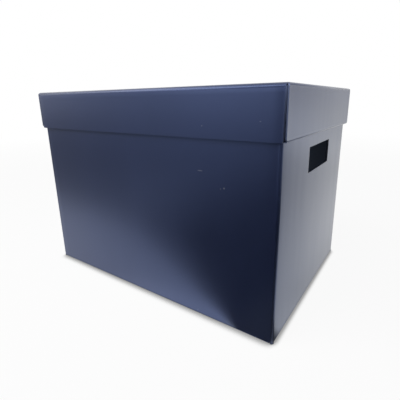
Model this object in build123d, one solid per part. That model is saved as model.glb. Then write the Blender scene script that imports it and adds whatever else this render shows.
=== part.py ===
"""A lidded storage box, folded from two die-cut plastic sheets.

Units are millimetres. X runs along the box from hand hole to hand hole, Y runs from the
front wall to the back wall, and Z is up. The origin lies on the floor, under the middle
of the box. Each panel between two creases is a piece of its own, and each crease is a
rounded bend that belongs to one of the two panels that it joins.
"""

import os
from math import sqrt

from build123d import *

# The sheet that both the body and the lid are folded from
sheet = 1.4

# The closed box, outside
body_length = 400.0
body_width = 272.0
overall_height = 282.0

# The body's wrap of four walls, closed by a glued seam inside the back left corner
wall_crease_radius = 3.5
corner_foot_gap = 0.3
seam_width = 30.0
seam_end_gap = 6.0
seam_edge_setback = 0.4

# The lining that folds in over the rim of each end wall
lining_depth = 150.0
lining_fold_gap = 0.6
lining_side_gap = 0.6
lining_corner_radius = 12.0

# The hand hole through each end wall and its lining
hole_length = 91.0
hole_height = 31.5
hole_corner_radius = 1.0
hole_below_skirt = 15.5
lining_hole_margin = 1.0

# The floor: front and back flaps meet on the middle line and lock with a tongue each
floor_crease_radius = 2.0
floor_corner_relief = 1.0
floor_seam_gap = 0.4
end_flap_reach = 95.0
end_flap_chamfer = 38.0
tongue_reach = 35.0
tongue_middle_gap = 10.0
tongue_side_gap = 14.0
tongue_ramp = 8.0
tongue_corner_radius = 8.0

# The lid
skirt_height = 54.4
side_clearance = 1.4
end_clearance = 0.7
rim_gap = 0.3
lid_side_crease_radius = 4.4
lid_end_crease_radius = 2.6
skirt_edge_setback = 0.5
skirt_corner_radius = 2.0
lid_lining_side_gap = 1.0
lid_lining_top_gap = 0.6

# The corner flaps, tucked between the two layers of each end of the lid
tuck_crease_radius = 2.0
tuck_reach = 62.0
tuck_chamfer = 14.0
tuck_bottom_gap = 0.6
tuck_top_gap = 0.4
tuck_relief_gap = 0.3

# Heights: the lid rests on the folded rims of the ends
rim_height = overall_height - sheet - rim_gap
skirt_bottom = overall_height - skirt_height
hole_top = skirt_bottom - hole_below_skirt
hole_middle = hole_top - hole_height / 2
side_wall_bottom = floor_crease_radius
end_wall_bottom = sheet + floor_crease_radius

# The body's faces, measured from the middle
end_face = body_length / 2
side_face = body_width / 2
wall_end = end_face - wall_crease_radius
wall_side = side_face - wall_crease_radius
seam_face = side_face - sheet
seam_tangent = seam_face - wall_crease_radius

# The lining's fold over the rim: half a turn about a line inside the end wall
lining_fold_radius = sheet + lining_fold_gap / 2
lining_fold_line = end_face - lining_fold_radius
lining_fold_height = rim_height - lining_fold_radius
lining_half_width = seam_tangent - lining_side_gap

# The lid's faces: each end is two layers of sheet with room for a corner flap between
tuck_room = sheet
lid_end_inner = end_face + end_clearance
lid_end_face = lid_end_inner + sheet + tuck_room + sheet
lid_side_inner = side_face + side_clearance
lid_side_face = lid_side_inner + sheet
lid_crease_end = lid_end_face - lid_end_crease_radius
lid_crease_side = lid_side_face - lid_side_crease_radius
lid_end_crease_height = overall_height - lid_end_crease_radius
lid_side_crease_height = overall_height - lid_side_crease_radius

# The cut rims of the front and back walls stop under the round of the lid's side creases
crease_reach = lid_side_crease_radius - sheet - rim_gap
crease_overhang = max(0, side_face - lid_crease_side)
side_rim_height = lid_side_crease_height + sqrt(crease_reach**2 - crease_overhang**2)

# The roll at the foot of each end of the lid
roll_radius = (lid_end_face - lid_end_inner) / 2
roll_line = lid_end_face - roll_radius
roll_height = skirt_bottom + roll_radius
lid_lining_half_width = lid_side_inner - lid_lining_side_gap

# The upright crease at each corner of the lid
tuck_face = lid_end_face - sheet
tuck_line = tuck_face - tuck_crease_radius
tuck_side_line = lid_side_face - tuck_crease_radius
tuck_bottom = roll_height + tuck_bottom_gap
tuck_top = lid_end_crease_height - tuck_top_gap


def strip(u_low, u_high, v_low, v_high):
    """A straight run of a section, between two corners."""
    middle = Pos((u_low + u_high) / 2, (v_low + v_high) / 2)
    return middle * Rectangle(u_high - u_low, v_high - v_low)


def bend(center_u, center_v, outer_radius, start_angle, turn=90):
    """The section of a crease: a ring sector one sheet thick."""
    outer = CenterArc((center_u, center_v), outer_radius, start_angle, turn)
    inner = CenterArc((center_u, center_v), outer_radius - sheet, start_angle, turn)
    first_side = Line(outer @ 0, inner @ 0)
    last_side = Line(outer @ 1, inner @ 1)
    return make_face([outer, last_side, inner, first_side])


def upright(section, z_low, z_high):
    """Raise a section drawn in plan between two heights."""
    return extrude(Plane.XY.offset(z_low) * section, z_high - z_low)


def along_length(section, x_low, x_high):
    """Run a section drawn in Y and Z along the length of the box."""
    return extrude(Plane.YZ.offset(x_low) * section, x_high - x_low)


def along_width(section, y_low, y_high):
    """Run a section drawn in X and Z along the width of the box."""
    return extrude(Plane.XZ.offset(-y_high) * section, y_high - y_low)


def soften(solid, axis, radius, pick):
    """Round the chosen edges that run straight through the sheet."""
    edges = [edge for edge in solid.edges().filter_by(axis) if pick(edge.center())]
    return fillet(edges, radius)


def hand_hole(margin):
    """The cutter of a hand hole in the right end, larger all round by a margin."""
    outline = RectangleRounded(
        hole_length + 2 * margin, hole_height + 2 * margin, hole_corner_radius + margin
    )
    depth = 4 * sheet + lining_fold_gap
    return along_length(Pos(0, hole_middle) * outline, end_face - depth, end_face + sheet)


# The body

def corner_crease(center_u, center_v, start_angle):
    """The upright crease at a corner of the body, which reaches down to the ground."""
    return upright(
        bend(center_u, center_v, wall_crease_radius, start_angle), corner_foot_gap, side_rim_height
    )


def front_wall():
    """The front wall, with the upright creases at both of its ends."""
    plan = strip(-wall_end, wall_end, -side_face, -side_face + sheet)
    wall = upright(plan, side_wall_bottom, side_rim_height)
    return wall + corner_crease(-wall_end, -wall_side, 180) + corner_crease(wall_end, -wall_side, 270)


def back_wall():
    """The back wall: a crease on the right, and a cut edge over the seam on the left."""
    cut_edge = -end_face + seam_edge_setback
    plan = strip(cut_edge, wall_end, side_face - sheet, side_face)
    return upright(plan, side_wall_bottom, side_rim_height) + corner_crease(wall_end, wall_side, 0)


def seam_flap():
    """The glue flap, which the last crease carries round onto the inside of the back wall.
    The flap itself is shorter than its crease, with chamfered ends."""
    far_edge = -wall_end + seam_width
    plan = strip(-wall_end, far_edge, seam_face - sheet, seam_face)
    flap = upright(plan, side_wall_bottom + seam_end_gap, side_rim_height - seam_end_gap)
    far_corners = [edge for edge in flap.edges().filter_by(Axis.Y) if edge.center().X > far_edge - sheet]
    return chamfer(far_corners, seam_end_gap) + corner_crease(-wall_end, seam_tangent, 90)


def end_wall(back_edge):
    """The right end wall, with its hand hole, as far back as the given crease or seam."""
    plan = strip(end_face - sheet, end_face, -wall_side, back_edge)
    return upright(plan, end_wall_bottom, lining_fold_height) - hand_hole(0)


def end_lining():
    """The lining of the right end wall, folded in over the rim, with a wider hand hole."""
    inner_face = end_face - 2 * lining_fold_radius
    section = strip(inner_face, inner_face + sheet, rim_height - lining_depth, lining_fold_height)
    section += bend(lining_fold_line, lining_fold_height, lining_fold_radius, 0, 180)
    lining = along_width(section, -lining_half_width, lining_half_width)
    low_corner = rim_height - lining_depth + sheet
    lining = soften(lining, Axis.X, lining_corner_radius, lambda at: at.Z < low_corner)
    return lining - hand_hole(lining_hole_margin)


def side_floor_flap():
    """The front floor flap: it lies on the ground as far as the middle line, and its tongue
    ramps up by one sheet on the left and lies on the back flap."""
    half_length = wall_end - floor_corner_relief
    crease_line = -side_face + floor_crease_radius
    seam_edge = -floor_seam_gap / 2
    ramp_foot = seam_edge - tongue_ramp
    flat = strip(crease_line, seam_edge, 0, sheet)
    crease = bend(crease_line, floor_crease_radius, floor_crease_radius, 180)
    flap = along_length(crease + flat, -half_length, half_length)

    tongue_outer = -(end_face - end_flap_reach - tongue_side_gap)
    tongue_inner = -tongue_middle_gap
    flap -= along_length(strip(ramp_foot, 0, 0, sheet), tongue_outer, tongue_inner)
    ramp = Polygon(
        (ramp_foot, 0), (seam_edge, sheet), (seam_edge, 2 * sheet), (ramp_foot, sheet), align=None
    )
    step = strip(seam_edge, tongue_reach, sheet, 2 * sheet)
    tongue = along_length(ramp + step, tongue_outer, tongue_inner)
    tongue = soften(tongue, Axis.Z, tongue_corner_radius, lambda at: at.Y > tongue_reach - sheet)
    return flap + tongue


def end_floor_flap(back_edge):
    """The right floor flap, which lies on the front and back flaps, one sheet up. Like the
    wall above it, it goes as far back as the given crease or seam."""
    crease_line = end_face - floor_crease_radius
    inner_edge = end_face - end_flap_reach
    flat = strip(inner_edge, crease_line, sheet, 2 * sheet)
    crease = bend(crease_line, end_wall_bottom, floor_crease_radius, 270)
    flap = along_width(crease + flat, floor_corner_relief - wall_side, back_edge - floor_corner_relief)
    corners = [edge for edge in flap.edges().filter_by(Axis.Z) if edge.center().X < inner_edge + sheet]
    return chamfer(corners, end_flap_chamfer)


# The lid

def lid_top():
    """The flat top, as far as the creases on its four sides."""
    plan = strip(-lid_crease_end, lid_crease_end, -lid_crease_side, lid_crease_side)
    return upright(plan, overall_height - sheet, overall_height)


def lid_side_skirt():
    """The front skirt: one sheet down from its crease to a cut edge with rounded corners.
    The crease runs on over the tops of the corner flaps, as far as the lid's ends."""
    wall = strip(-lid_side_face, -lid_side_inner, skirt_bottom, lid_side_crease_height)
    skirt = along_length(wall, -tuck_line, tuck_line)
    skirt = soften(skirt, Axis.Y, skirt_corner_radius, lambda at: at.Z < skirt_bottom + sheet)
    crease = bend(-lid_crease_side, lid_side_crease_height, lid_side_crease_radius, 90)
    skirt += along_length(crease, -lid_crease_end, lid_crease_end)
    over_tuck = strip(-lid_side_face, -lid_crease_side, lid_side_crease_height, tuck_top + tuck_relief_gap)
    relief = along_length(over_tuck, tuck_line, lid_end_face)
    return skirt - relief - to_left(relief)


def lid_end_skirt():
    """The outer layer of the lid's right end, whose cut edges show at both corners. Its top
    corners are rounded like the creases of the lid's sides."""
    half_width = lid_side_face - skirt_edge_setback
    section = strip(tuck_face, lid_end_face, roll_height, lid_end_crease_height)
    section += bend(lid_crease_end, lid_end_crease_height, lid_end_crease_radius, 0)
    outline = strip(-half_width, half_width, roll_height, overall_height)
    outline = fillet(outline.vertices().group_by(Axis.Y)[0], skirt_corner_radius)
    outline = fillet(outline.vertices().group_by(Axis.Y)[-1], lid_side_crease_radius - skirt_edge_setback)
    skirt = along_width(section, -half_width, half_width)
    return skirt & along_length(outline, lid_crease_end, lid_end_face)


def lid_end_lining():
    """The inner layer of the lid's right end, rolled up from the foot of the skirt. Its top
    corners are rounded to clear the side creases."""
    top_edge = overall_height - sheet - lid_lining_top_gap
    section = strip(lid_end_inner, lid_end_inner + sheet, roll_height, top_edge)
    section += bend(roll_line, roll_height, roll_radius, 180, 180)
    lining = along_width(section, -lid_lining_half_width, lid_lining_half_width)
    return soften(lining, Axis.X, lid_side_crease_radius, lambda at: at.Z > top_edge - sheet)


def lid_tuck_flap():
    """The flap at the front right corner, carried round from the front skirt."""
    far_edge = -tuck_side_line + tuck_reach
    plan = strip(tuck_face - sheet, tuck_face, -tuck_side_line, far_edge)
    plan += bend(tuck_line, -tuck_side_line, tuck_crease_radius, 270)
    flap = upright(plan, tuck_bottom, tuck_top)
    far_corners = [edge for edge in flap.edges().filter_by(Axis.X) if edge.center().Y > far_edge - sheet]
    return chamfer(far_corners, tuck_chamfer)


def to_left(solid):
    """The same piece at the other end of the box."""
    return mirror(solid, about=Plane.YZ)


def to_back(solid):
    """The same piece on the other side of the box."""
    return mirror(solid, about=Plane.XZ)


def turned(solid):
    """The same piece turned half round about the upright axis."""
    return solid.rotate(Axis.Z, 180)


def all_pieces():
    """Every panel of the body and the lid, by name."""
    tuck = lid_tuck_flap()
    return {
        "front_wall": front_wall(),
        "back_wall": back_wall(),
        "right_end_wall": end_wall(wall_side),
        "left_end_wall": to_left(end_wall(seam_tangent)),
        "seam_flap": seam_flap(),
        "right_end_lining": end_lining(),
        "left_end_lining": to_left(end_lining()),
        "front_floor_flap": side_floor_flap(),
        "back_floor_flap": turned(side_floor_flap()),
        "right_floor_flap": end_floor_flap(wall_side),
        "left_floor_flap": to_left(end_floor_flap(seam_tangent)),
        "lid_top": lid_top(),
        "lid_front_skirt": lid_side_skirt(),
        "lid_back_skirt": to_back(lid_side_skirt()),
        "lid_right_skirt": lid_end_skirt(),
        "lid_left_skirt": to_left(lid_end_skirt()),
        "lid_right_lining": lid_end_lining(),
        "lid_left_lining": to_left(lid_end_lining()),
        "lid_front_right_flap": tuck,
        "lid_front_left_flap": to_left(tuck),
        "lid_back_right_flap": to_back(tuck),
        "lid_back_left_flap": to_back(to_left(tuck)),
    }


os.makedirs("parts", exist_ok=True)
for name, piece in all_pieces().items():
    export_step(piece, f"parts/{name}.step")
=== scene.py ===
from math import cos, radians, sin

import bmesh
import bpy
from mathutils import Matrix, Vector


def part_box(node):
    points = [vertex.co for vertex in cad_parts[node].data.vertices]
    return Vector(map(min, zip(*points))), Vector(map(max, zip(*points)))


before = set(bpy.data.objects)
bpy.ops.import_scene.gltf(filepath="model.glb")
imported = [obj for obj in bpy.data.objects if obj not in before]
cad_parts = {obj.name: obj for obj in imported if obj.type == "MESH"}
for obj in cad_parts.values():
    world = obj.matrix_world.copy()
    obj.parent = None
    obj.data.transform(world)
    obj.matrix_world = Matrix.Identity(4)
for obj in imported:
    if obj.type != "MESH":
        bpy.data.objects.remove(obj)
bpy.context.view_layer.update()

MM = 0.001
WHITE = (1.0, 1.0, 1.0)

# Where the photograph was taken from, in metres and degrees
EYE = Vector((0.3044, -0.4149, 0.2672))
VIEW_AZIMUTH = 33.83
VIEW_ELEVATION = 15.18
VIEW_ROLL = -0.77
LENS_MM = 28.0
SENSOR_MM = 36.0
VIEW_SHIFT = (-0.0238, -0.0385)
NEAREST_SEEN = 0.01
FARTHEST_SEEN = 200

# The folded body and lid, read from the parts of model.glb: half their lengths and widths, and their heights
BODY_LOW = Vector(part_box("left_end_wall")[0])
BODY_HIGH = Vector(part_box("right_end_wall")[1])
BODY_HALF = (BODY_HIGH.x, abs(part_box("front_wall")[0][1]))
BODY_FOOT = BODY_LOW.z
BODY_RIM = BODY_HIGH.z
LID_LOW = Vector(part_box("lid_left_skirt")[0])
LID_HIGH = Vector(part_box("lid_right_skirt")[1])
LID_HALF = (LID_HIGH.x, abs(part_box("lid_front_skirt")[0][1]))
LID_FOOT = LID_LOW.z
LID_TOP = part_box("lid_top")[1][2]

# The plastic sheet: navy through and through, under a satin gloss
NAVY = (0.0092, 0.0130, 0.0340)
# The paler colour of worn creases, nicks and rubs, which is also painted as light into the lid's tucked
# corners and rolled foot
PALE_CREASE = (0.060, 0.070, 0.100)
PALE_SCUFF = (0.18, 0.19, 0.21)
GLOSS_TINT = (0.34, 0.47, 0.96)
PLASTIC_IOR = 1.6
SHEET_ROUGHNESS = 0.28
CREASE_POLISH = 0.07
DRAW_LINE_ROUGHNESS = 0.012
CUT_EDGE = 0.12 * MM

# How far a crease reaches, and how pale it and the other worn places are; the lid's tucked corners and rolled
# foot are made pale as painted light that lifts their shade
CREASE_REACH = 3.6 * MM
CREASE_WEAR = (0.12, 0.26)
NICK_WEAR = 0.8
TUCK_PAINTED_LIGHT = 0.55
FOOT_ROLL_PAINTED_LIGHT = 0.6
FOOT_ROLL_REACH = 2.6 * MM
HOLE_WEAR = 0.5

# The slow curves in the gloss: how far each reaches from its crease, and how deep it is
BODY_END_SWELL = (16 * MM, -0.49 * MM)
BODY_SIDE_SWELL = (16 * MM, -0.35 * MM)
LID_END_SWELL = (16 * MM, -0.70 * MM)
LID_TOP_ROLL = (9 * MM, -0.9 * MM)
LID_CORNER = (3 * MM, 0.5 * MM)
LID_END_FLARE = (45 * MM, 0.5 * MM)
LID_LINE_REACH = 5 * MM
LID_LINE_DEPTH = 0.22 * MM
SHEET_WAVE_DEPTH = 0.4 * MM
DRAW_LINE_DEPTH = 0.05 * MM
END_STREAK_DEPTH = 0.25 * MM
GRAIN_DEPTH = 0.002 * MM

# The hand holes' place in both ends
HOLE_HALF = (45.5 * MM, 15.75 * MM)
HOLE_CENTRE = 196.35 * MM
HOLE_RUB = 1.3 * MM

# Light scuffs on the front: x, z, half length and half height, in metres
BODY_SCUFFS = [
    (0.1048, 0.1907, 0.0042, 0.0005),
    (0.1319, 0.1731, 0.0003, 0.0012),
    (0.1364, 0.1743, 0.0012, 0.0011),
    (0.0968, 0.0056, 0.0007, 0.0006),
]
LID_SCUFFS = [
    (0.1104, 0.2409, 0.0008, 0.0006),
    (0.1782, 0.2471, 0.0010, 0.0004),
]

# The floor, which keeps this share of the shadow, and the narrow shade where the box stands on it
FLOOR_REACH = 30
FLOOR_GREY = (0.5, 0.5, 0.5)
SHADOW_SHARE = 0.06
CONTACT_SHADE = 0.35
SIDE_CONTACT_REACH = 14 * MM
END_CONTACT_REACH = 8.4 * MM

# The cards lie just above the floor and begin just outside the walls
CARD_HEIGHT = 0.6 * MM
CARD_GAP = 1.2 * MM

# The bright table before the front, with the box's own shadow painted on it: a point on the shadow's edge,
# the way this faces, and its blur for each metre away
SHADOW_EDGE_POINT = (0.13, -0.149)
SHADOW_EDGE_FACES = (-0.469, 0.883)
SHADOW_EDGE_BLUR = 0.32
WARM_TABLE = (1.0, 0.90, 0.6)
WARM_TABLE_GLOW = 0.11

# The bright table beside the right end: how its shade leans, and its light towards the front and the back
TABLE_LEAN = 3.2
COOL_LIGHT = (0.97, 1.0, 1.02)
WARM_LIGHT = (1.0, 0.99, 0.94)

# A standing screen round the box's near corner, from front to right, in metres
DARK_SIDE = [(-0.30, -1.8), (0.25, -1.7), (1.2, -1.4), (1.7, -0.6), (1.8, 0.35)]
DARK_SIDE_FOOT = 1 * MM
DARK_SIDE_TOP = 0.9

# The lamps: place, width and height in metres, and watts
WINDOWS = {
    "window_high": ((-0.98, -1.12, 1.85), (2.3, 1.7), 27),
    "window_low": ((-0.84, -2.25, 0.74), (1.4, 0.9), 3.4),
}
OVERHEAD = ((-0.3, -0.75, 1.35), (1.0, 0.7), 28)
LAMPS_AIM = Vector((0, 0, 0.15))
WINDOW_COLOUR = (1.0, 0.92, 0.80)
GLIMMER_PLACE = (0, 0, 0.12)
GLIMMER_COLOUR = (1, 0.85, 0.40)
GLIMMER_WATTS = 2.8
GLIMMER_RADIUS = 0.05
WORLD_LIGHT = 0.12


class Nodes:
    """Adds nodes to the node tree of a surface or of the world."""

    def __init__(self, tree):
        self.tree = tree

    def add(self, kind, **settings):
        node = self.tree.nodes.new(kind)
        for key, value in settings.items():
            setattr(node, key, value)
        return node

    def link(self, source, target):
        self.tree.links.new(source, target)

    def feed(self, socket, value):
        if isinstance(value, (int, float)):
            socket.default_value = value
        else:
            self.link(value, socket)

    def math(self, operation, first, second=0.0, clamp=False):
        node = self.add("ShaderNodeMath", operation=operation, use_clamp=clamp)
        self.feed(node.inputs[0], first)
        self.feed(node.inputs[1], second)
        return node.outputs[0]

    def joined(self, operation, values):
        total = values[0]
        for value in values[1:]:
            total = self.math(operation, total, value)
        return total

    def plus(self, *values):
        return self.joined("ADD", values)

    def times(self, *values):
        return self.joined("MULTIPLY", values)

    def highest(self, *values):
        return self.joined("MAXIMUM", values)

    def minus(self, first, second):
        return self.math("SUBTRACT", first, second)

    def size_of(self, value):
        return self.math("ABSOLUTE", value)

    def ramp(self, value, low, high, out_low=0.0, out_high=1.0):
        """A smooth run from one number to another while the value goes from low to high."""
        node = self.add("ShaderNodeMapRange", interpolation_type="SMOOTHSTEP")
        self.link(value, node.inputs["Value"])
        numbers = {"From Min": low, "From Max": high, "To Min": out_low, "To Max": out_high}
        for name, number in numbers.items():
            node.inputs[name].default_value = number
        return node.outputs["Result"]

    def seen_directly_or_mirrored(self):
        """One for rays from the camera, from gloss and through clear pieces, nothing for falling light."""
        path = self.add("ShaderNodeLightPath")
        rays = ("Is Camera Ray", "Is Glossy Ray", "Is Transmission Ray")
        return self.highest(*[path.outputs[ray] for ray in rays])


class Surface(Nodes):
    """Builds the node material of a sheet, the floor or a card, by its place on the object."""

    def __init__(self, name):
        self.material = bpy.data.materials.new(name)
        self.material.use_nodes = True
        super().__init__(self.material.node_tree)
        self.shader = self.tree.nodes.get("Principled BSDF")
        self.place = self.add("ShaderNodeTexCoord").outputs["Object"]
        axes = self.add("ShaderNodeSeparateXYZ")
        self.link(self.place, axes.inputs[0])
        self.x, self.y, self.z = axes.outputs

    def stretched(self, stretch):
        """The place, drawn out along the axes with low factors."""
        mapping = self.add("ShaderNodeMapping")
        mapping.inputs["Scale"].default_value = stretch
        self.link(self.place, mapping.inputs["Vector"])
        return mapping.outputs[0]

    def noise(self, scale, detail, stretch=(1, 1, 1)):
        """A noise of so many grains to the metre."""
        node = self.add("ShaderNodeTexNoise")
        node.inputs["Scale"].default_value = scale
        node.inputs["Detail"].default_value = detail
        self.link(self.stretched(stretch), node.inputs["Vector"])
        return node.outputs["Fac"]

    def mix(self, factor, first, second):
        """One colour turning into another, each given as a colour or as another mix."""
        node = self.add("ShaderNodeMix", data_type="RGBA")
        self.feed(node.inputs["Factor"], factor)
        for socket, colour in ((node.inputs[6], first), (node.inputs[7], second)):
            if isinstance(colour, tuple):
                socket.default_value = (*colour, 1)
            else:
                self.link(colour, socket)
        return node.outputs[2]

    def bump(self, height, depth, normal=None):
        node = self.add("ShaderNodeBump")
        node.inputs["Strength"].default_value = 1.0
        node.inputs["Distance"].default_value = depth
        self.link(height, node.inputs["Height"])
        if normal is not None:
            self.link(normal, node.inputs["Normal"])
        return node.outputs["Normal"]

    def glow(self, strength, colour=None):
        node = self.add("ShaderNodeEmission")
        if colour is not None:
            self.link(colour, node.inputs["Color"])
        self.link(strength, node.inputs["Strength"])
        return node.outputs[0]

    def show(self, shader):
        self.link(shader, self.tree.nodes["Material Output"].inputs["Surface"])

    def from_middle(self):
        """How far a point of the floor lies from the middle of the box."""
        return self.math("SQRT", self.plus(self.times(self.x, self.x), self.times(self.y, self.y)))


class Sheet(Surface):
    """The folded sheet of the body or of the lid, with how far in a point lies from its four sides."""

    def __init__(self, name, half, low, high):
        super().__init__(name)
        self.from_end = self.minus(half[0], self.size_of(self.x))
        self.from_side = self.minus(half[1], self.size_of(self.y))
        self.from_foot = self.minus(self.z, low)
        self.from_top = self.minus(high, self.z)
        self.draw_lines = self.noise(24, 1, (1, 1, 0.06))

    def crease(self, first, second):
        """One along the bend between two panels, and nothing on the panels beside it."""
        return self.ramp(self.plus(first, second), CREASE_REACH * 1.25, CREASE_REACH * 0.6)

    def swell(self, distance, reach):
        """The slow curve with which a panel runs into its crease."""
        near = self.math("SUBTRACT", 1.0, self.math("DIVIDE", distance, reach), clamp=True)
        return self.times(near, near)

    def swollen(self, distance, reach_and_depth, normal=None):
        reach, depth = reach_and_depth
        return self.bump(self.swell(distance, reach), depth, normal)

    def rub_round_hole(self):
        past_side = self.minus(self.size_of(self.y), HOLE_HALF[0])
        past_top = self.minus(self.size_of(self.minus(self.z, HOLE_CENTRE)), HOLE_HALF[1])
        return self.ramp(self.highest(past_side, past_top), HOLE_RUB, 0.2 * HOLE_RUB)

    def scuff(self, x, z, length, height):
        """A short pale mark on the front, where y is lowest."""
        along = self.math("DIVIDE", self.minus(self.x, x), length)
        across = self.math("DIVIDE", self.minus(self.z, z), height)
        spread = self.plus(self.times(along, along), self.times(across, across))
        at_front = self.math("LESS_THAN", self.y, -0.9 * BODY_HALF[1])
        return self.times(self.ramp(spread, 1.0, 0.3), at_front)

    def nicks(self, scale, size, share, stretch):
        """Sparse specks, so many cells to the metre, of which only a share carries one."""
        cells = self.add("ShaderNodeTexVoronoi")
        cells.inputs["Scale"].default_value = scale
        self.link(self.stretched(stretch), cells.inputs["Vector"])
        pick = self.add("ShaderNodeSeparateColor")
        self.link(cells.outputs["Color"], pick.inputs[0])
        chosen = self.math("LESS_THAN", pick.outputs[0], share)
        return self.times(self.ramp(cells.outputs["Distance"], size, 0.4 * size), chosen)


def navy(share):
    """The sheet's own colour, a little darker or paler."""
    return tuple(share * part for part in NAVY)


def finish_the_satin(sheet, wear_and_painted_light, scuffs, normal):
    """Satin navy plastic, paler and smoother along its creases, with faint draw lines and a few scuffs."""
    shader = sheet.shader
    shader.inputs["IOR"].default_value = PLASTIC_IOR
    shader.inputs["Specular IOR Level"].default_value = 1.0
    shader.inputs["Specular Tint"].default_value = (*GLOSS_TINT, 1.0)

    lines = sheet.draw_lines
    creases = sheet.highest(sheet.crease(sheet.from_end, sheet.from_top),
                            sheet.crease(sheet.from_side, sheet.from_top))
    crease_wear = sheet.times(creases, sheet.ramp(sheet.noise(60, 1), 0.3, 0.7, *CREASE_WEAR))
    nick_wear = sheet.times(sheet.nicks(26, 0.016, 0.10, (0.45, 0.45, 1)), NICK_WEAR)
    marks = sheet.highest(*[sheet.scuff(*mark) for mark in scuffs])

    tone = sheet.mix(sheet.noise(9, 1), navy(0.85), navy(1.15))
    tone = sheet.mix(sheet.ramp(lines, 0.3, 0.7, 0.0, 0.2), tone, navy(1.5))
    # Paler on worn creases, nicks and the rub round the hand holes, and paler as painted light in the lid's
    # tucked corners and on its rolled foot
    tone = sheet.mix(sheet.highest(crease_wear, nick_wear, wear_and_painted_light), tone, PALE_CREASE)
    sheet.link(sheet.mix(marks, tone, PALE_SCUFF), shader.inputs["Base Color"])

    rough = sheet.plus(sheet.times(lines, DRAW_LINE_ROUGHNESS), SHEET_ROUGHNESS - 0.5 * DRAW_LINE_ROUGHNESS)
    rough = sheet.minus(rough, sheet.times(creases, CREASE_POLISH))
    sheet.link(rough, shader.inputs["Roughness"])

    streaks = sheet.times(sheet.noise(34, 1, (1, 1, 0.2)), sheet.ramp(sheet.from_end, 6 * MM, 1 * MM))
    normal = sheet.bump(sheet.noise(7, 0, (1, 1, 0.5)), SHEET_WAVE_DEPTH, normal)
    normal = sheet.bump(lines, DRAW_LINE_DEPTH, normal)
    normal = sheet.bump(streaks, END_STREAK_DEPTH, normal)
    normal = sheet.bump(sheet.noise(1100, 1), GRAIN_DEPTH, normal)
    sheet.link(normal, shader.inputs["Normal"])


def body_satin():
    """The body's sheet, rubbed round its hand holes and pressed along the line where the lid's foot rests."""
    sheet = Sheet("body_sheet_satin", BODY_HALF, BODY_FOOT, BODY_RIM)
    normal = sheet.swollen(sheet.from_end, BODY_END_SWELL)
    normal = sheet.swollen(sheet.from_side, BODY_SIDE_SWELL, normal)
    from_lid_line = sheet.size_of(sheet.minus(sheet.z, LID_FOOT))
    on_long_walls = sheet.ramp(sheet.from_side, 4 * MM, 1 * MM)
    pressed = sheet.times(sheet.swell(from_lid_line, LID_LINE_REACH), on_long_walls)
    normal = sheet.bump(pressed, LID_LINE_DEPTH, normal)
    finish_the_satin(sheet, sheet.times(sheet.rub_round_hole(), HOLE_WEAR), BODY_SCUFFS, normal)
    return sheet.material


def lid_satin():
    """The lid's sheet, painted paler where its corners are tucked and where its ends roll under, as light
    that lifts the shade there.
    """
    sheet = Sheet("lid_sheet_satin", LID_HALF, LID_FOOT, LID_TOP)
    # Painted light: the tucked corner creases made paler to lift the shade in their groove
    tuck = sheet.times(sheet.crease(sheet.from_end, sheet.from_side), TUCK_PAINTED_LIGHT)
    # Painted light: the rolled foot at the ends made paler to lift the shade under the roll
    past_roll = sheet.plus(sheet.from_end, sheet.from_foot)
    roll = sheet.times(sheet.ramp(past_roll, FOOT_ROLL_REACH, FOOT_ROLL_REACH - 0.6 * MM), FOOT_ROLL_PAINTED_LIGHT)
    normal = sheet.swollen(sheet.from_end, LID_END_SWELL)
    normal = sheet.swollen(sheet.from_top, LID_TOP_ROLL, normal)
    normal = sheet.swollen(sheet.from_end, LID_CORNER, normal)
    normal = sheet.swollen(sheet.from_side, LID_END_FLARE, normal)
    finish_the_satin(sheet, sheet.highest(tuck, roll), LID_SCUFFS, normal)
    return sheet.material


def soften_cut_edges(thing):
    """Takes the sharpness off the sheet's cut edges."""
    weld = thing.modifiers.new("weld", "WELD")
    weld.merge_threshold = 0.01 * MM
    bevel = thing.modifiers.new("cut_edge", "BEVEL")
    bevel.width = CUT_EDGE
    bevel.segments = 2
    bevel.limit_method = "ANGLE"
    bevel.angle_limit = radians(50)
    bevel.harden_normals = True


def dress_the_sheets():
    body = body_satin()
    lid = lid_satin()
    for node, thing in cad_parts.items():
        finish = lid if node.startswith("lid_") else body
        for slot in thing.material_slots:
            slot.material = finish
        soften_cut_edges(thing)


def add_to_scene(thing):
    bpy.context.scene.collection.objects.link(thing)
    return thing


def stage_piece(name, bm, surface):
    """Turns a bmesh into a piece of the stage, which isn't part of the box."""
    mesh = bpy.data.meshes.new(name)
    bm.to_mesh(mesh)
    bm.free()
    mesh.materials.append(surface.material)
    thing = add_to_scene(bpy.data.objects.new(name, mesh))
    return thing


def flat_piece(name, surface, x_range, y_range, height):
    """A flat piece of the stage, from four corners."""
    (left, right), (near, far) = x_range, y_range
    corners = [(left, near), (right, near), (right, far), (left, far)]
    bm = bmesh.new()
    bm.faces.new([bm.verts.new((x, y, height)) for x, y in corners])
    return stage_piece(name, bm, surface)


def show_to_gloss_only(thing):
    thing.visible_camera = False
    thing.visible_diffuse = False
    thing.visible_shadow = False
    thing.visible_transmission = False


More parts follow.
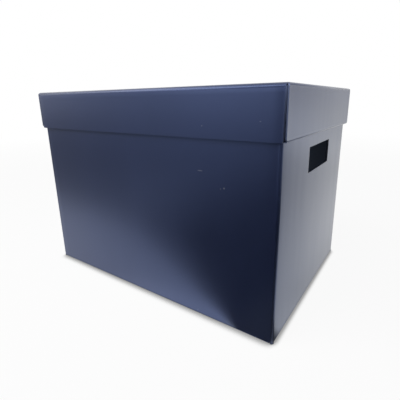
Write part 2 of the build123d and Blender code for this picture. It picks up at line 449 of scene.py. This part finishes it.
def set_the_floor():
    """A white floor that keeps a faint shadow, darker in a narrow band round the box and dark under it."""
    floor = Surface("floor_white")
    floor.shader.inputs["Base Color"].default_value = (*FLOOR_GREY, 1)
    floor.shader.inputs["Roughness"].default_value = 0.9
    floor.shader.inputs["Specular IOR Level"].default_value = 0.0

    past_end = floor.minus(floor.size_of(floor.x), BODY_HALF[0])
    past_side = floor.minus(floor.size_of(floor.y), BODY_HALF[1])
    crowd = floor.add("ShaderNodeAmbientOcclusion", samples=16)
    reach = floor.ramp(past_end, 0.0, 2 * MM, SIDE_CONTACT_REACH, END_CONTACT_REACH)
    floor.link(reach, crowd.inputs["Distance"])
    contact = floor.ramp(crowd.outputs["AO"], 0.45, 0.95, CONTACT_SHADE, 1.0)
    not_under = floor.ramp(floor.highest(past_end, past_side), -4 * MM, -1 * MM)

    blend = floor.add("ShaderNodeMixShader")
    share = floor.ramp(floor.from_middle(), 0.5, 2.5, 1 - SHADOW_SHARE, 1.0)
    floor.link(floor.times(floor.seen_directly_or_mirrored(), share), blend.inputs[0])
    floor.link(floor.shader.outputs[0], blend.inputs[1])
    floor.link(floor.glow(floor.times(contact, not_under)), blend.inputs[2])
    floor.show(blend.outputs[0])
    across = (-FLOOR_REACH, FLOOR_REACH)
    flat_piece("floor", floor, across, across, 0)


def table_before_front(card):
    """Bright to the left of the painted edge of the box's own shadow, which blurs with distance, and
    brightest close to the wall.
    """
    along = card.times(card.minus(card.x, SHADOW_EDGE_POINT[0]), SHADOW_EDGE_FACES[0])
    across = card.plus(along, card.times(card.minus(card.y, SHADOW_EDGE_POINT[1]), SHADOW_EDGE_FACES[1]))
    blur = card.plus(card.times(card.plus(card.y, BODY_HALF[1]), -SHADOW_EDGE_BLUR), 2 * MM)
    lit = card.ramp(card.math("DIVIDE", across, blur), -1.2, 1.2)
    near_enough = card.ramp(card.y, -0.45, -0.235)
    by_wall = card.times(card.ramp(card.y, -0.175, -0.145, 0.1, 0.4),
                         card.ramp(card.x, -0.12, 0.06, -0.1, 1.0))
    return card.times(lit, near_enough, card.plus(by_wall, 1.1))


def room_before_front(card):
    """The dim room past the table: paler to the left and far away, and a little uneven."""
    left = card.times(card.ramp(card.x, 0.02, -0.32, 0.0, 0.37), card.ramp(card.x, -1.0, -0.4, 0.72, 1.0))
    sideways = card.math("DIVIDE", card.x, card.y)
    beyond = card.times(card.ramp(card.from_middle(), 1.2, 4.5),
                        card.ramp(sideways, 1.5, 0.7, 0.0, 0.36),
                        card.ramp(sideways, 0.1, 0.45))
    dim_part = card.times(card.ramp(sideways, 0.8, 1.15), card.ramp(sideways, 1.65, 1.3))
    light_part = card.times(card.ramp(sideways, 0.2, 0.5), card.ramp(sideways, 0.95, 0.65))
    uneven = card.minus(card.times(light_part, 0.18), card.times(dim_part, 0.2))
    return card.times(card.plus(left, beyond), card.plus(uneven, 1.0))


def set_the_table_card():
    """What the gloss of the front mirrors: a bright table by the box with the box's own shadow painted on it,
    and a dim room beyond it.
    """
    card = Surface("table_card_face")
    warm = card.times(card.ramp(card.x, 0.12, 0.17), card.ramp(card.y, -0.30, -0.18))
    strength = card.highest(table_before_front(card), room_before_front(card),
                            card.times(warm, WARM_TABLE_GLOW))
    card.show(card.glow(strength, card.mix(warm, WHITE, WARM_TABLE)))
    thing = flat_piece("table_card", card, (-8, 1.5), (-8, -BODY_HALF[1] - CARD_GAP), CARD_HEIGHT)
    show_to_gloss_only(thing)


def table_beside_end(card, ahead):
    """Brighter to the back, with a faint darker band, and dimmer by the near corner and along the foot."""
    lit = card.plus(card.ramp(ahead, -0.22, 0.22, 0.0, 0.50), card.ramp(ahead, -1.1, -0.3, 0.1, 0.98))
    band = card.times(card.ramp(card.x, 0.28, 0.37), card.ramp(card.x, 0.62, 0.44))
    band = card.times(band, card.ramp(ahead, 0.35, 0.70, 0.20, 0.06))
    # Painted shade of the box on the bright table, by its near corner and along its foot
    by_corner = card.highest(card.ramp(card.y, -0.128, -0.104, 0.1, 1.0),
                             card.ramp(card.x, 0.215, 0.235))
    by_foot = card.times(card.ramp(card.y, -0.10, 0.0), card.ramp(card.x, 0.234, 0.212), 0.15)
    return card.times(lit, card.minus(1.0, band), by_corner, card.minus(1.0, by_foot))


def floor_far_right(card):
    """The plain floor far away, with one brighter patch."""
    slant = card.math("DIVIDE", card.y, card.x)
    patch = card.times(card.ramp(slant, 1.7, 2.2), card.ramp(slant, 2.9, 2.3), 0.6)
    return card.plus(patch, card.ramp(slant, 4.6, 3.2, 1.02, 1.15))


def set_the_right_card():
    """What the gloss of the right end mirrors: a brightly lit table, fading to the plain floor."""
    card = Surface("right_card_face")
    ahead = card.minus(card.y, card.times(card.minus(card.x, BODY_HALF[0]), TABLE_LEAN))
    far = card.ramp(card.from_middle(), 0.9, 2.2)
    strength = card.plus(card.times(table_beside_end(card, ahead), card.minus(1.0, far)),
                         card.times(floor_far_right(card), far))
    card.show(card.glow(strength, card.mix(card.ramp(ahead, -0.3, 0.2), COOL_LIGHT, WARM_LIGHT)))
    thing = flat_piece("right_card", card, (BODY_HALF[0] + CARD_GAP, 6), (-0.135, 12), CARD_HEIGHT)
    show_to_gloss_only(thing)


def set_the_dark_side():
    """The dim side of the room behind the camera, which the near upright creases mirror."""
    screen = Surface("dark_side_face")
    screen.show(screen.glow(screen.ramp(screen.z, 0.45, DARK_SIDE_TOP, 0.18, 1.0)))
    bm = bmesh.new()
    foot = [bm.verts.new((x, y, DARK_SIDE_FOOT)) for x, y in DARK_SIDE]
    edges = [bm.edges.new(pair) for pair in zip(foot, foot[1:])]
    grown = bmesh.ops.extrude_edge_only(bm, edges=edges)["geom"]
    top = [part for part in grown if isinstance(part, bmesh.types.BMVert)]
    bmesh.ops.translate(bm, verts=top, vec=(0, 0, DARK_SIDE_TOP - DARK_SIDE_FOOT))
    show_to_gloss_only(stage_piece("dark_side", bm, screen))


def lamp(name, place, size, watts, colour=WHITE):
    """A soft rectangular lamp that faces the box."""
    light = bpy.data.lights.new(name, "AREA")
    light.shape = "RECTANGLE"
    light.size, light.size_y = size
    light.energy = watts
    light.color = colour
    thing = add_to_scene(bpy.data.objects.new(name, light))
    place = Vector(place)
    turn = (place - LAMPS_AIM).to_track_quat("Z", "Y")
    thing.matrix_world = Matrix.Translation(place) @ turn.to_matrix().to_4x4()
    thing.visible_camera = False
    return thing


def glimmer_inside():
    """The little light that finds its way into the box through the hand holes."""
    light = bpy.data.lights.new("glimmer_inside", "POINT")
    light.energy = GLIMMER_WATTS
    light.color = GLIMMER_COLOUR
    light.shadow_soft_size = GLIMMER_RADIUS
    thing = add_to_scene(bpy.data.objects.new("glimmer_inside", light))
    thing.location = GLIMMER_PLACE
    thing.visible_glossy = False
    thing.visible_camera = False


def set_the_world():
    """White where it is seen or mirrored, and a low even light elsewhere."""
    world = bpy.data.worlds.new("studio")
    bpy.context.scene.world = world
    world.use_nodes = True
    background = world.node_tree.nodes["Background"]
    background.inputs["Color"].default_value = (*WHITE, 1)
    nodes = Nodes(world.node_tree)
    strength = nodes.ramp(nodes.seen_directly_or_mirrored(), 0.0, 1.0, WORLD_LIGHT, 1.0)
    nodes.link(strength, background.inputs["Strength"])


def set_the_lamps():
    for name, (place, size, watts) in WINDOWS.items():
        lamp(name, place, size, watts, WINDOW_COLOUR).visible_diffuse = False
    lamp("overhead", *OVERHEAD).visible_glossy = False
    glimmer_inside()


def set_the_camera():
    azimuth, elevation = radians(VIEW_AZIMUTH), radians(VIEW_ELEVATION)
    back = Vector((sin(azimuth) * cos(elevation), -cos(azimuth) * cos(elevation), sin(elevation)))
    side = (-back).cross(Vector((0, 0, 1))).normalized()
    side = Matrix.Rotation(radians(VIEW_ROLL), 3, back) @ side
    top = back.cross(side)
    data = bpy.data.cameras.new("camera")
    data.lens = LENS_MM
    data.sensor_width = SENSOR_MM
    data.shift_x, data.shift_y = VIEW_SHIFT
    data.clip_start = NEAREST_SEEN
    data.clip_end = FARTHEST_SEEN
    camera = add_to_scene(bpy.data.objects.new("camera", data))
    turn = Matrix((side, top, back)).transposed()
    camera.matrix_world = Matrix.Translation(EYE) @ turn.to_4x4()
    bpy.context.scene.camera = camera


set_the_camera()
dress_the_sheets()
set_the_floor()
set_the_table_card()
set_the_right_card()
set_the_dark_side()
set_the_world()
set_the_lamps()

bpy.context.scene.view_settings.view_transform = "Standard"
bpy.context.view_layer.update()
